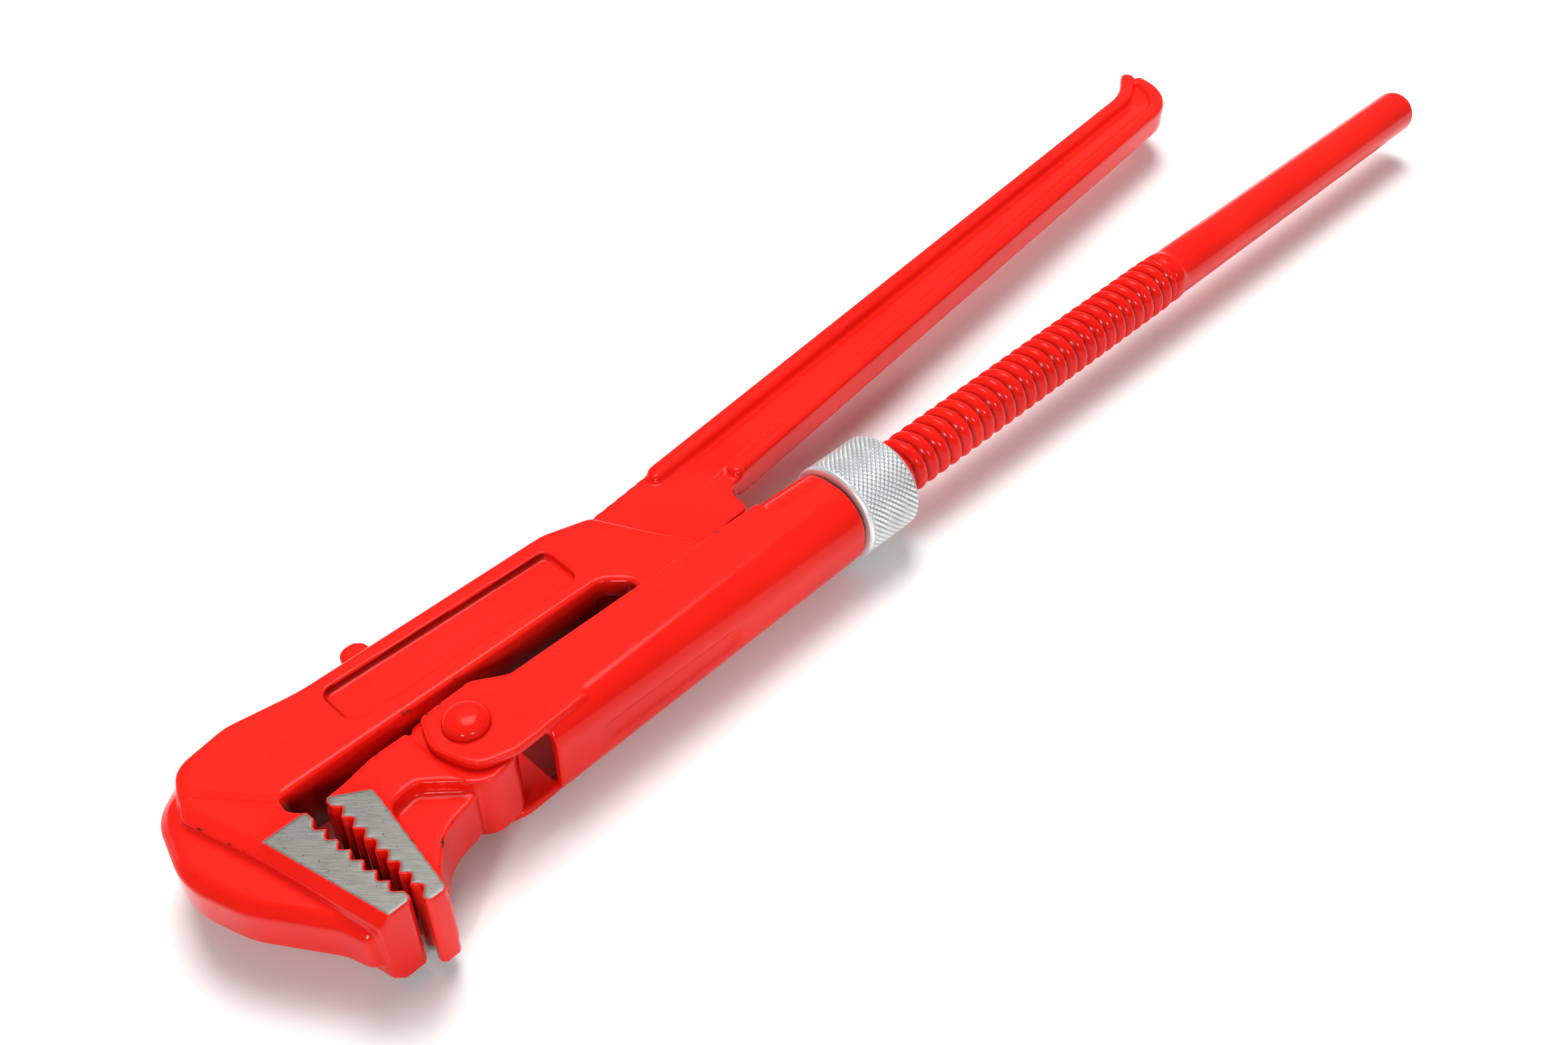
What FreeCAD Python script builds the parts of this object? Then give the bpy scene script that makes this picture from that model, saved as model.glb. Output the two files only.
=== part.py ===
"""Swedish-pattern 90 degree pipe wrench, one inch size, about 315 mm long.

Millimetres. The pieces are drawn about a working datum: X runs along the axis of the
threaded leg from the jaws to the handles and is 0 a little behind the adjusting nut, Y points
to the hook jaw's shank, and Z is 0 on the middle plane of the forgings. At the end everything
is moved so that the origin is the centre of the wrench's footprint on the surface it lies on.
"""
import FreeCAD, Part
import math
import os

V = FreeCAD.Vector
os.makedirs("parts", exist_ok=True)

# ---------------------------------------------------------------- driving dimensions
# half thicknesses about the middle plane
SHANK_HALF = 6.0        # hook jaw shank and fork cheeks
PAD_HALF = 7.7          # toothed parts of both jaws
HEAD_HALF = 4.8         # outer body of the hook head
WEB_HALF = 1.8          # web and tongue of the I-section handle
FLANGE_HALF = 3.1       # flanges of the I-section handle
SLOT_HALF = 2.1         # slots that take the handle's tongue
MOVING_WEB_HALF = 4.6   # thin web of the moving jaw
BOSS_HALF = 6.35        # moving jaw boss between the sleeve's ears
FORK_HALF = 5.4         # fork block of the threaded leg
FORK_BEVEL = 1.6        # bevel round the fork block, clear of the sleeve's inner bends
SLEEVE_HALF = 8.0       # outside of the sleeve
SHEET = 1.6             # sleeve sheet thickness

# pivots and rivet, on the working datum
LEVER_PIN_X, LEVER_PIN_Y, LEVER_PIN_R = -55.2, 4.4, 2.2
LEG_PIN_X, LEG_PIN_Y, LEG_PIN_R = -55.2, -3.0, 2.0
RIVET_X, RIVET_Y, RIVET_R = -99.9, 2.4, 2.0
RIVET_HEAD_R, RIVET_HEAD_H = 3.7, 2.2
RUNNING = 0.05          # radial clearance of the running fits

# hook jaw
HOOK_INNER_Y, HOOK_OUTER_Y = 12.0, 27.4
HEAD_EDGE = 1.6         # chamfer round the outer body of the head
PAD_BEVEL = 1.7         # bevel in front of the toothed part
SLOT_ROOT_X = -66.5     # front end of the slot between the cheeks
RECESS_DEPTH = 1.2

# teeth
TOOTH_PITCH = 2.65
TOOTH_DEPTH = 1.2
TOOTH_ROOT_FLAT = 0.25

# threaded leg
THREAD_R, THREAD_ROOT_R, THREAD_PITCH = 5.4, 4.45, 3.15
RIDGE_WIDTH = 2.08      # of a rounded thread ridge, along the axis
THREAD_START_X, THREAD_END_X = -24.0, 73.5
NECK_R, NECK_FRONT_X = 4.9, -36.0
ROD_R, ROD_TIP_R, ROD_TIP_X, ROD_FLAT_R = 5.05, 4.85, 171.0, 1.5
COLLAR_R, COLLAR_LENGTH, COLLAR_CHAMFER = 5.3, 3.0, 0.6
TIP_ROUND, SHOULDER_BACK, SHOULDER_R = 2.2, 0.6, 3.2   # rounded end of the rod

# nut
NUT_FRONT_X, NUT_REAR_X = -23.6, -10.4
NUT_R, NUT_BODY_R = 9.2, 9.1
NUT_FLANGE, NUT_CHAMFER = 1.4, 1.1

# sleeve
SLEEVE_REAR_X, SLEEVE_WALL_X = -24.2, -92.0
SLEEVE_COLLAR_X = -36.6
SLEEVE_WALL_Y, SLEEVE_OPEN_Y, SLEEVE_BACK_Y = -8.4, 5.5, 8.2
BEND_FRONT_R, BEND_REAR_R = 4.2, 7.4    # the bends grow rounder toward the nut

# I-section handle
FLANGE_WIDTH = 3.3
HANDLE_SLOPE = 0.1143   # of the outer edge, away from the threaded leg's axis
INNER_SLOPE = 0.128     # of the inner edge, so the handle narrows toward its tail
FLANGE_ROUND = 0.9      # rounding of the flange edges
SHANK_ROUND = 1.0       # rounding of the hook jaw's shank edges

# guide hook of the moving jaw, which runs under the shank and up its outer side
GUIDE_INNER_Y = HOOK_INNER_Y - 0.6
GUIDE_OUTER_Y = HOOK_OUTER_Y + 0.6
GUIDE_TIP_Y = 33.2
GUIDE_FRONT_X, GUIDE_REAR_X = -103.4, -98.4
GUIDE_LOW, GUIDE_HIGH = -10.2, -6.5
GUIDE_FOOT_Y = 9.0      # the arm starts here, clear of the sleeve's lower ear
SHOE_TOP, HOOK_TOP = 3.0, 2.0


# ---------------------------------------------------------------- helpers
def rounded_wire(corners, z):
    """Closed wire through (x, y, radius) corners, each corner a tangent arc."""
    count = len(corners)
    starts, ends, mids = [], [], []
    for i in range(count):
        x, y, radius = corners[i]
        here = V(x, y, z)
        before = V(corners[i - 1][0], corners[i - 1][1], z) - here
        after = V(corners[(i + 1) % count][0], corners[(i + 1) % count][1], z) - here
        half = before.getAngle(after) / 2
        before.normalize()
        after.normalize()
        if radius <= 0 or abs(half - math.pi / 2) < 1e-4:
            starts.append(here)
            ends.append(here)
            mids.append(None)
            continue
        reach = radius / math.tan(half)
        middle = before + after
        middle.normalize()
        starts.append(here + before * reach)
        ends.append(here + after * reach)
        mids.append(here + middle * (radius / math.sin(half) - radius))
    edges = []
    for i in range(count):
        if mids[i] is not None:
            edges.append(Part.Arc(starts[i], mids[i], ends[i]).toShape())
        nxt = starts[(i + 1) % count]
        if (nxt - ends[i]).Length > 1e-6:
            edges.append(Part.LineSegment(ends[i], nxt).toShape())
    return Part.Wire(edges)


def plate(corners, low, high):
    """Flat plate with rounded corners between two heights."""
    return Part.Face(rounded_wire(corners, low)).extrude(V(0, 0, high - low))


def both_sides(corners, half):
    """Plate that is symmetric about the middle plane."""
    return plate(corners, -half, half)


def bevelled(corners, half, bevel):
    """Symmetric plate with a bevel round both of its faces."""
    solid = both_sides(corners, half)
    rims = edges_where(solid, lambda m: abs(abs(m.z) - half) < 0.01)
    return solid.makeChamfer(bevel, rims)


def softened(corners, half, radius):
    """Symmetric plate with a rounded edge round both of its faces."""
    solid = both_sides(corners, half)
    rims = edges_where(solid, lambda m: abs(abs(m.z) - half) < 0.01)
    return solid.makeFillet(radius, rims)


def cylinder_z(x, y, radius, half):
    return Part.makeCylinder(radius, 2 * half, V(x, y, -half), V(0, 0, 1))


def box(x0, x1, y0, y1, z0, z1):
    return Part.makeBox(x1 - x0, y1 - y0, z1 - z0, V(x0, y0, z0))


def edges_where(shape, test):
    """Edges whose middle point passes the test."""
    chosen = []
    for edge in shape.Edges:
        middle = edge.valueAt((edge.FirstParameter + edge.LastParameter) / 2)
        if test(middle):
            chosen.append(edge)
    return chosen


def tooth_cutter(start, end, into, half):
    """Row of V notches from start to end, cut to one side, through the full thickness."""
    along = V(end[0] - start[0], end[1] - start[1], 0)
    length = along.Length
    along.normalize()
    inward = V(into[0], into[1], 0)
    points = [V(start[0], start[1], -half) - inward * 2 * TOOTH_DEPTH]
    count = int(length / TOOTH_PITCH)
    first = (length - count * TOOTH_PITCH) / 2
    base = V(start[0], start[1], -half)
    points.append(base)
    for i in range(count):
        near = first + i * TOOTH_PITCH
        middle = near + TOOTH_PITCH / 2
        points.append(base + along * near)
        points.append(base + along * (middle - TOOTH_ROOT_FLAT / 2) + inward * TOOTH_DEPTH)
        points.append(base + along * (middle + TOOTH_ROOT_FLAT / 2) + inward * TOOTH_DEPTH)
    points.append(base + along * (first + count * TOOTH_PITCH))
    points.append(base + along * length)
    points.append(base + along * length - inward * 2 * TOOTH_DEPTH)
    points.append(points[0])
    return Part.Face(Part.makePolygon(points)).extrude(V(0, 0, 2 * half))


# ---------------------------------------------------------------- hook jaw
def hook_jaw():
    """Fixed hook jaw: head with a toothed pad, recessed shank, forked lug at the rear."""
    shank = softened([
        (-57.0, 24.8, 2.0), (-65.5, HOOK_OUTER_Y, 9.0), (-113.0, HOOK_OUTER_Y, 30.0),
        (-124.5, 29.3, 8.0), (-134.0, 27.6, 5.0), (-137.3, 20.5, 2.0), (-132.0, 6.0, 2.0),
        (-126.9, 6.5, 1.2), (-126.9, HOOK_INNER_Y, 2.4), (-65.6, HOOK_INNER_Y, 3.0),
        (-62.4, 8.6, 2.0), (-62.3, 0.75, 3.2), (-50.4, 0.75, 3.2), (-48.0, 8.4, 3.0),
        (-51.5, 14.0, 12.0)], SHANK_HALF, SHANK_ROUND)
    head = bevelled([
        (-132.5, 28.2, 4.0), (-139.8, 23.2, 8.0), (-143.2, 11.0, 14.0), (-139.8, 0.8, 16.0),
        (-132.3, -10.4, 6.0), (-130.6, -15.4, 2.6), (-124.0, -15.4, 2.2), (-125.5, 8.0, 3.0),
        (-125.5, 22.0, 3.0)], HEAD_HALF, HEAD_EDGE)
    head = head.common(box(-150, -126.2, -15.0, 30, -9, 9))
    core = bevelled([
        (-135.2, 23.8, 2.4), (-138.0, 18.4, 2.4), (-133.9, 4.6, 6.0), (-128.1, -20.0, 2.2),
        (-116.0, -20.0, 2.2), (-115.8, 0.5, 2.2)], PAD_HALF, PAD_BEVEL)
    core = core.common(both_sides([
        (-131.0, 28.0, 0.5), (-140.0, 20.0, 0.5), (-134.0, -16.4, 0.5), (-123.1, -16.4, 1.2),
        (-125.3, 6.0, 0.4), (-126.9, 8.6, 1.4), (-126.6, 12.0, 1.4), (-121.0, 12.0, 0.5)],
        PAD_HALF + 1))
    body = shank.fuse(head).fuse(core)

    recess = [(-111.0, 24.4, 1.8), (-111.0, 16.0, 2.6), (-67.6, 15.0, 2.0), (-67.6, 23.8, 1.6)]
    body = body.cut(plate(recess, SHANK_HALF - RECESS_DEPTH, SHANK_HALF + 1))
    body = body.cut(plate(recess, -SHANK_HALF - 1, RECESS_DEPTH - SHANK_HALF))

    body = body.cut(tooth_cutter((-125.2, 5.3), (-123.3, -15.5), (-0.996, -0.091), PAD_HALF + 1))
    body = body.cut(plate([(SLOT_ROOT_X, -5, 0), (-40, -5, 0), (-40, 40, 0), (SLOT_ROOT_X, 40, 0)],
                          -SLOT_HALF, SLOT_HALF))
    body = body.cut(cylinder_z(LEVER_PIN_X, LEVER_PIN_Y, LEVER_PIN_R, SHANK_HALF + 1))
    return body


# ---------------------------------------------------------------- I-section handle
def outer_edge(x):
    """Outer edge line of the I-section handle."""
    return 29.4 + HANDLE_SLOPE * (x + 40.0)


def inner_edge(x):
    """Inner edge line of the I-section handle."""
    return 27.3 + INNER_SLOPE * (x - 52.0)


def handle_lever():
    """Handle of I section that is also the lever: its tongue carries both pivot pins."""
    tail_outer = (127.0, outer_edge(127.0), 18.0)
    tail_inner = (135.7, inner_edge(135.7), 13.0)
    web = both_sides([
        (-60.4, outer_edge(-60.4), 2.0), tail_outer, (135.4, 54.1, 1.8), (137.6, 52.4, 1.8),
        tail_inner, (-33.0, inner_edge(-33.0), 3.0), (-33.6, 10.5, 1.6), (-41.0, 10.0, 3.5),
        (-45.5, 3.0, 4.0), (-51.0, -1.0, 3.0), (-51.9, -6.3, 3.2), (-58.5, -6.3, 3.2),
        (-59.4, 3.0, 2.0), (-61.0, 10.0, 3.0)], WEB_HALF)
    outer_flange = softened([
        (-41.5, outer_edge(-41.5) + 0.2, 2.2), tail_outer, (135.4, 54.1, 1.4),
        (137.0, 51.2, 1.4), (127.9, outer_edge(127.9) - FLANGE_WIDTH, 14.0),
        (-41.0, outer_edge(-41.0) - FLANGE_WIDTH, 1.0)],
        FLANGE_HALF, FLANGE_ROUND)
    inner_flange = softened([
        (-30.5, inner_edge(-30.5), 1.5), (-30.0, inner_edge(-30.0) + FLANGE_WIDTH, 1.5),
        (132.5, inner_edge(132.5) + FLANGE_WIDTH, 9.8), (133.9, 50.4, 1.1),
        (137.2, 50.2, 1.1), tail_inner],
        FLANGE_HALF, FLANGE_ROUND)
    lever = web.fuse(outer_flange).fuse(inner_flange).removeSplitter()
    lever = lever.cut(cylinder_z(LEVER_PIN_X, LEVER_PIN_Y, LEVER_PIN_R + RUNNING, 5))
    return lever.cut(cylinder_z(LEG_PIN_X, LEG_PIN_Y, LEG_PIN_R + RUNNING, 5))


# ---------------------------------------------------------------- moving jaw
def moving_jaw():
    """Moving jaw: toothed pad, boss between the sleeve's ears, guide hook round the shank."""
    web = both_sides([
        (-122.4, 6.6, 1.0), (-113.0, 8.0, 20.0), (-104.0, 8.0, 1.0), (-104.0, -6.6, 4.0),
        (-112.6, -8.4, 9.0), (-117.6, -14.0, 9.0), (-118.9, -18.4, 1.0), (-122.4, -18.4, 0.8)],
        MOVING_WEB_HALF)
    boss = both_sides([
        (-108.4, 8.0, 1.0), (-97.2, 8.0, 2.0), (-96.0, 3.0, 3.0), (-96.6, -6.4, 3.6),
        (-103.5, -7.6, 4.0), (-108.4, -3.4, 3.0)], BOSS_HALF)
    raised = both_sides([
        (-122.4, 6.0, 1.2), (-113.0, 8.0, 20.0), (-106.7, 8.0, 0.6), (-106.9, 0.6, 3.0),
        (-105.8, -5.8, 0.4), (-108.2, -3.6, 1.2), (-111.6, -0.3, 3.0), (-116.4, -1.2, 2.0),
        (-119.0, -18.4, 1.0), (-122.4, -18.4, 0.8)], PAD_HALF)
    shoe = plate([(-105.0, 6.0, 0.5), (-100.5, 6.0, 0.5), (-100.5, GUIDE_INNER_Y, 1.5),
                  (-105.0, GUIDE_INNER_Y, 1.5)], -BOSS_HALF, SHOE_TOP)
    foot = plate([(-105.0, GUIDE_FOOT_Y, 0.5), (-100.5, GUIDE_FOOT_Y, 0.5),
                  (-100.5, GUIDE_INNER_Y, 0.8), (-105.0, GUIDE_INNER_Y, 0.8)],
                 GUIDE_LOW, -BOSS_HALF)
    arm = plate([(GUIDE_FRONT_X, GUIDE_FOOT_Y, 0.5), (GUIDE_REAR_X, GUIDE_FOOT_Y, 0.5),
                 (GUIDE_REAR_X, GUIDE_TIP_Y, 2.3), (GUIDE_FRONT_X, GUIDE_TIP_Y, 2.3)],
                GUIDE_LOW, GUIDE_HIGH)
    hook = plate([(GUIDE_FRONT_X, GUIDE_OUTER_Y, 0.5), (GUIDE_REAR_X, GUIDE_OUTER_Y, 0.5),
                  (GUIDE_REAR_X, GUIDE_TIP_Y, 2.3), (GUIDE_FRONT_X, GUIDE_TIP_Y, 2.3)],
                 GUIDE_LOW, HOOK_TOP)
    jaw = web.fuse(boss).fuse(raised)
    jaw = jaw.fuse(shoe).fuse(foot).fuse(arm).fuse(hook)
    jaw = jaw.cut(tooth_cutter((-122.6, 4.9), (-122.4, -17.6), (1, 0), PAD_HALF + 1))
    return jaw.cut(cylinder_z(RIVET_X, RIVET_Y, RIVET_R, PAD_HALF + 1))


# ---------------------------------------------------------------- threaded leg
def threaded_leg():
    """Round leg: fork block in front, ridged thread, collar and smooth round handle."""
    block = bevelled([
        (-59.8, -5.5, 1.7), (-59.8, 0.15, 1.7), (-47.4, 0.15, 1.5), (-44.4, 5.0, 2.0),
        (-34.0, 5.0, 1.7), (-34.0, -5.5, 1.7)], FORK_HALF, FORK_BEVEL)
    slot = plate([(-70.0, -12.0, 0), (-37.0, -12.0, 0), (-37.0, 12.0, 0), (-70.0, 12.0, 0)],
                 -SLOT_HALF, SLOT_HALF)
    block = block.cut(slot)
    count = int((THREAD_END_X - THREAD_START_X) / THREAD_PITCH)
    thread_end = THREAD_START_X + count * THREAD_PITCH
    start = V(NECK_FRONT_X, 0, 0)
    corners = [start, V(NECK_FRONT_X, NECK_R, 0), V(THREAD_START_X, NECK_R, 0),
               V(THREAD_START_X, THREAD_ROOT_R, 0)]
    edges = [Part.LineSegment(a, b).toShape() for a, b in zip(corners, corners[1:])]
    for i in range(count):
        x = THREAD_START_X + i * THREAD_PITCH
        foot = V(x + RIDGE_WIDTH, THREAD_ROOT_R, 0)
        crest = V(x + RIDGE_WIDTH / 2, THREAD_R, 0)
        valley = V(x + THREAD_PITCH, THREAD_ROOT_R, 0)
        edges.append(Part.Arc(V(x, THREAD_ROOT_R, 0), crest, foot).toShape())
        edges.append(Part.LineSegment(foot, valley).toShape())
    collar_end = thread_end + COLLAR_LENGTH
    corners = [V(thread_end, THREAD_ROOT_R, 0), V(thread_end, COLLAR_R - COLLAR_CHAMFER, 0),
               V(thread_end + COLLAR_CHAMFER, COLLAR_R, 0),
               V(collar_end - COLLAR_CHAMFER, COLLAR_R, 0),
               V(collar_end, ROD_R, 0), V(ROD_TIP_X - TIP_ROUND, ROD_TIP_R, 0)]
    edges += [Part.LineSegment(a, b).toShape() for a, b in zip(corners, corners[1:])]
    tip = V(ROD_TIP_X, 0, 0)
    tip_rim = V(ROD_TIP_X, ROD_FLAT_R, 0)
    shoulder = V(ROD_TIP_X - SHOULDER_BACK, SHOULDER_R, 0)
    edges.append(Part.Arc(corners[-1], shoulder, tip_rim).toShape())
    edges.append(Part.LineSegment(tip_rim, tip).toShape())
    edges.append(Part.LineSegment(tip, start).toShape())
    bar = Part.Face(Part.Wire(edges)).revolve(V(0, 0, 0), V(1, 0, 0), 360)

    leg = block.fuse(bar)
    return leg.cut(cylinder_z(LEG_PIN_X, LEG_PIN_Y, LEG_PIN_R, FORK_HALF + 1))


# ---------------------------------------------------------------- nut
def adjusting_nut():
    """Round nut: smooth front flange, body at the crest of its knurl, chamfered rear."""
    bore = THREAD_R + RUNNING
    flange_end = NUT_FRONT_X + NUT_FLANGE
    outline = [V(NUT_FRONT_X, bore, 0), V(NUT_FRONT_X, NUT_R - 0.5, 0),
               V(NUT_FRONT_X + 0.5, NUT_R, 0), V(flange_end - 0.4, NUT_R, 0),
               V(flange_end, NUT_BODY_R, 0), V(NUT_REAR_X - NUT_CHAMFER, NUT_BODY_R, 0),
               V(NUT_REAR_X, NUT_BODY_R - NUT_CHAMFER, 0), V(NUT_REAR_X, bore, 0)]
    face = Part.Face(Part.makePolygon(outline + outline[:1]))
    return face.revolve(V(0, 0, 0), V(1, 0, 0), 360)


# ---------------------------------------------------------------- sleeve
def bend_radius(x):
    """Outside bend radius of the sleeve at a station along X."""
    share = (x - SLEEVE_WALL_X) / (SLEEVE_REAR_X - SLEEVE_WALL_X)
    return BEND_FRONT_R + share * (BEND_REAR_R - BEND_FRONT_R)


def lofted_bar(x0, x1, section):
    """Bar along X between the sections at its two ends."""
    bar = Part.makeLoft([section(x0, 0), section(x1, x1 - x0)], True, True)
    bar.rotate(V(0, 0, 0), V(0, 1, 0), 90)
    bar.translate(V(x0, 0, 0))
    return bar


def tube_bar(x0, x1, inset):
    """Closed rounded-rectangle bar, inset from the outside of the sleeve."""
    y0, y1, z1 = SLEEVE_WALL_Y + inset, SLEEVE_BACK_Y - inset, SLEEVE_HALF - inset

    def section(x, height):
        radius = bend_radius(x) - inset
        return rounded_wire([(-z1, y0, radius), (z1, y0, radius), (z1, y1, radius),
                             (-z1, y1, radius)], height)
    return lofted_bar(x0, x1, section)


def channel_bar(x0, x1, inset):
    """U-shaped bar that is open toward the hook jaw."""
    y0, z1 = SLEEVE_WALL_Y + inset, SLEEVE_HALF - inset
    y1 = SLEEVE_OPEN_Y + (1.0 if inset else 0.0)

    def section(x, height):
        radius = bend_radius(x) - inset
        return rounded_wire([(-z1, y0, radius), (z1, y0, radius), (z1, y1, 0), (-z1, y1, 0)],
                            height)
    return lofted_bar(x0, x1, section)


def sleeve():
    """Sheet sleeve: channel with two ears in front and a closed collar at the rear."""
    collar = tube_bar(SLEEVE_COLLAR_X, SLEEVE_REAR_X, 0)
    channel = channel_bar(SLEEVE_WALL_X, SLEEVE_COLLAR_X, 0)
    inner_half = SLEEVE_HALF - SHEET
    ear = [(-84.0, SLEEVE_OPEN_Y, 0), (-84.0, -6.2, 0), (-97.5, -7.0, 6.0), (-104.0, -5.2, 5.0),
           (-106.6, 2.5, 6.0), (-104.2, 8.2, 1.6), (-94.6, 8.7, 2.0), (-89.4, SLEEVE_OPEN_Y, 2.0)]
    shell = collar.fuse(channel)
    shell = shell.fuse(plate(ear, inner_half, SLEEVE_HALF))
    shell = shell.fuse(plate(ear, -SLEEVE_HALF, -inner_half))
    shell = shell.cut(tube_bar(SLEEVE_COLLAR_X - 0.01, SLEEVE_REAR_X + 1, SHEET))
    shell = shell.cut(channel_bar(SLEEVE_WALL_X - 1, SLEEVE_COLLAR_X, SHEET))
    return shell.cut(cylinder_z(RIVET_X, RIVET_Y, RIVET_R, SLEEVE_HALF + 1)).removeSplitter()


# ---------------------------------------------------------------- rivet and pins
def jaw_rivet():
    """Rivet through both ears and the moving jaw, with a domed head at each end."""
    ball = (RIVET_HEAD_R ** 2 + RIVET_HEAD_H ** 2) / (2 * RIVET_HEAD_H)
    shape = cylinder_z(RIVET_X, RIVET_Y, RIVET_R, SLEEVE_HALF)
    for side in (1, -1):
        centre = V(RIVET_X, RIVET_Y, side * (SLEEVE_HALF + RIVET_HEAD_H - ball))
        dome = Part.makeSphere(ball, centre)
        base = SLEEVE_HALF if side > 0 else -SLEEVE_HALF - 10
        dome = dome.common(box(RIVET_X - 9, RIVET_X + 9, RIVET_Y - 9, RIVET_Y + 9,
                               base, base + 10))
        shape = shape.fuse(dome)
    return shape.removeSplitter()


def plain_pin(x, y, radius, half):
    """Straight pin with small chamfers."""
    pin = cylinder_z(x, y, radius, half)
    return pin.makeChamfer(0.3, edges_where(pin, lambda m: abs(abs(m.z) - half) < 0.01))


# ---------------------------------------------------------------- assembly
pieces = {
    "hook_jaw": hook_jaw(),
    "handle_lever": handle_lever(),
    "threaded_leg": threaded_leg(),
    "adjusting_nut": adjusting_nut(),
    "sleeve": sleeve(),
    "moving_jaw": moving_jaw(),
    "jaw_rivet": jaw_rivet(),
    "lever_pin": plain_pin(LEVER_PIN_X, LEVER_PIN_Y, LEVER_PIN_R, SHANK_HALF),
    "leg_pin": plain_pin(LEG_PIN_X, LEG_PIN_Y, LEG_PIN_R, FORK_HALF),
}
whole = Part.makeCompound(list(pieces.values())).optimalBoundingBox()
to_base = V(-whole.Center.x, -whole.Center.y, -whole.ZMin)
for name, shape in pieces.items():
    if shape.ShapeType == "Compound" and len(shape.Solids) == 1:
        shape = shape.Solids[0]
    shape.translate(to_base)
    shape.exportStep("parts/%s.step" % name)
    print(name, shape.isValid(), shape.ShapeType, len(shape.Solids), round(shape.Volume, 1))
print("moved by", to_base, "size", whole.XLength, whole.YLength, whole.ZLength)
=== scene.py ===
"""Looks of the pipe wrench: enamelled forgings, rope thread, knurled zinc nut, bare ground pads.

Metres, in the row frame. Shapes are worked out in millimetres about the same working datum as
the CAD: X along the threaded leg's axis, Y toward the hook jaw's shank, Z = 0 on the middle
plane of the forgings.
"""

import math

import bmesh
import bpy
import numpy as np
from mathutils import Matrix, Vector


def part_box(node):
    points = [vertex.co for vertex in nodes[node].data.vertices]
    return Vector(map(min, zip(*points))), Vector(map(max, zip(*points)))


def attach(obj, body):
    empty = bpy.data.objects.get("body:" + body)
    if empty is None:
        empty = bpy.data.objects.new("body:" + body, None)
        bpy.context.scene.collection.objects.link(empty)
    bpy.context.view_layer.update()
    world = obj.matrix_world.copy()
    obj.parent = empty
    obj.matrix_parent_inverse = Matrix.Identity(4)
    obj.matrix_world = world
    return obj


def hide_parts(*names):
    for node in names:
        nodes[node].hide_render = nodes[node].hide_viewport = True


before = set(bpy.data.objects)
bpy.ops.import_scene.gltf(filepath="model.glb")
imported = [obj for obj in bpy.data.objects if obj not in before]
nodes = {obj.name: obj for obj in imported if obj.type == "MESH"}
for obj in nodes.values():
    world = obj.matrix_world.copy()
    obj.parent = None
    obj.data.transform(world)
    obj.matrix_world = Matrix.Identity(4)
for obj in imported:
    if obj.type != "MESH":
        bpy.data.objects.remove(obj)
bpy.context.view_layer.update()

MM = 0.001

# ---------------------------------------------------------------- dimensions, mm on the datum
NUT_FRONT_X, NUT_REAR_X = -23.6, -10.4
nut_low, nut_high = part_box("adjusting_nut")
DATUM = Vector((nut_low.x - NUT_FRONT_X * MM, (nut_low.y + nut_high.y) / 2,
                (nut_low.z + nut_high.z) / 2))

# sloping lines across the forgings: a point (x, y) on the line, then its slope
HEAD_STEP = (-126.7, 10.9), -1.2           # foot of the hook head's plateau
RECESS_OUTER = (-111.0, 24.4), -0.0138     # outer wall of the shank's recess
HANDLE_OUTER = (-40.0, 29.4), 0.1143       # edges of the handle
HANDLE_INNER = (52.0, 27.3), 0.128

PAD_HALF = 7.7            # height of the ground pads over the middle plane
SHANK_HALF = 6.0
BARE_FROM = 7.64          # ground bare above this height, in front of PAD_REAR_X
BARE_EDGE = 0.02          # half the height over which paint turns to bare steel
PAD_REAR_X = -105.4       # between the moving jaw's pad and its guide arm
PAD_EDGE_Y, HEAD_REAR_X = 5.9, -120.0      # shank's end of the hook's pad, rear of its head
PAD_STEP, PLATEAU_FALL = 0.17, 0.60        # shares of the plateau's height
RECESS_FRONT_X, RECESS_REAR_X, RECESS_INNER_Y = -111.0, -67.5, 14.9
RECESS_FLOOR = 4.6
GRIND_ANGLE = math.radians(-48)    # direction of the grinding marks on the pads

VOXEL = 0.30              # mesh size of the forgings
WELD = 1e-7               # metres; a node's points closer than this become one
RELAX_STEP = 0.6          # share of the way to the neighbours' mean in each pass
CRISP = 0.9               # share of the rounding that teeth and pads are spared
NEAR = 0.1                # a point this close to an edge is on it

# a pair holds both ends of a fade; a shade is how dark painted shade makes a place, 0 to 1
HOOK_CRISP_X, HOOK_CRISP_Y, HOOK_CRISP_Z = (-128.5, -125.0), (6.0, 8.0), (6.9, 7.3)
HOOK_CRISP_REAR_X = -118.0
HOOK_TEETH_X, HOOK_TEETH_Y, HOOK_TEETH_REAR_X = (-127.0, -126.2), (-14.6, 6.4), -121.0
GAP_FRONT_X, GAP_INNER_Y, GAP_OUTER_Y = -127.4, 5.0, (12.1, 12.6)
GAP_CORNER_X = (-124.0, -112.0)
GAP_DEPTH, GAP_CORNER_RISE = 7.0, 3.5      # full shade from this depth, higher in the corner
CREASE_WIDTH, CREASE_REAR_X, CREASE_FROM = 0.35, -127.0, 5.5
GAP_SHADE, HOOK_TEETH_SHADE, WALL_SHADE, CREASE_SHADE = 0.9, 0.75, 0.8, 0.4

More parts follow.
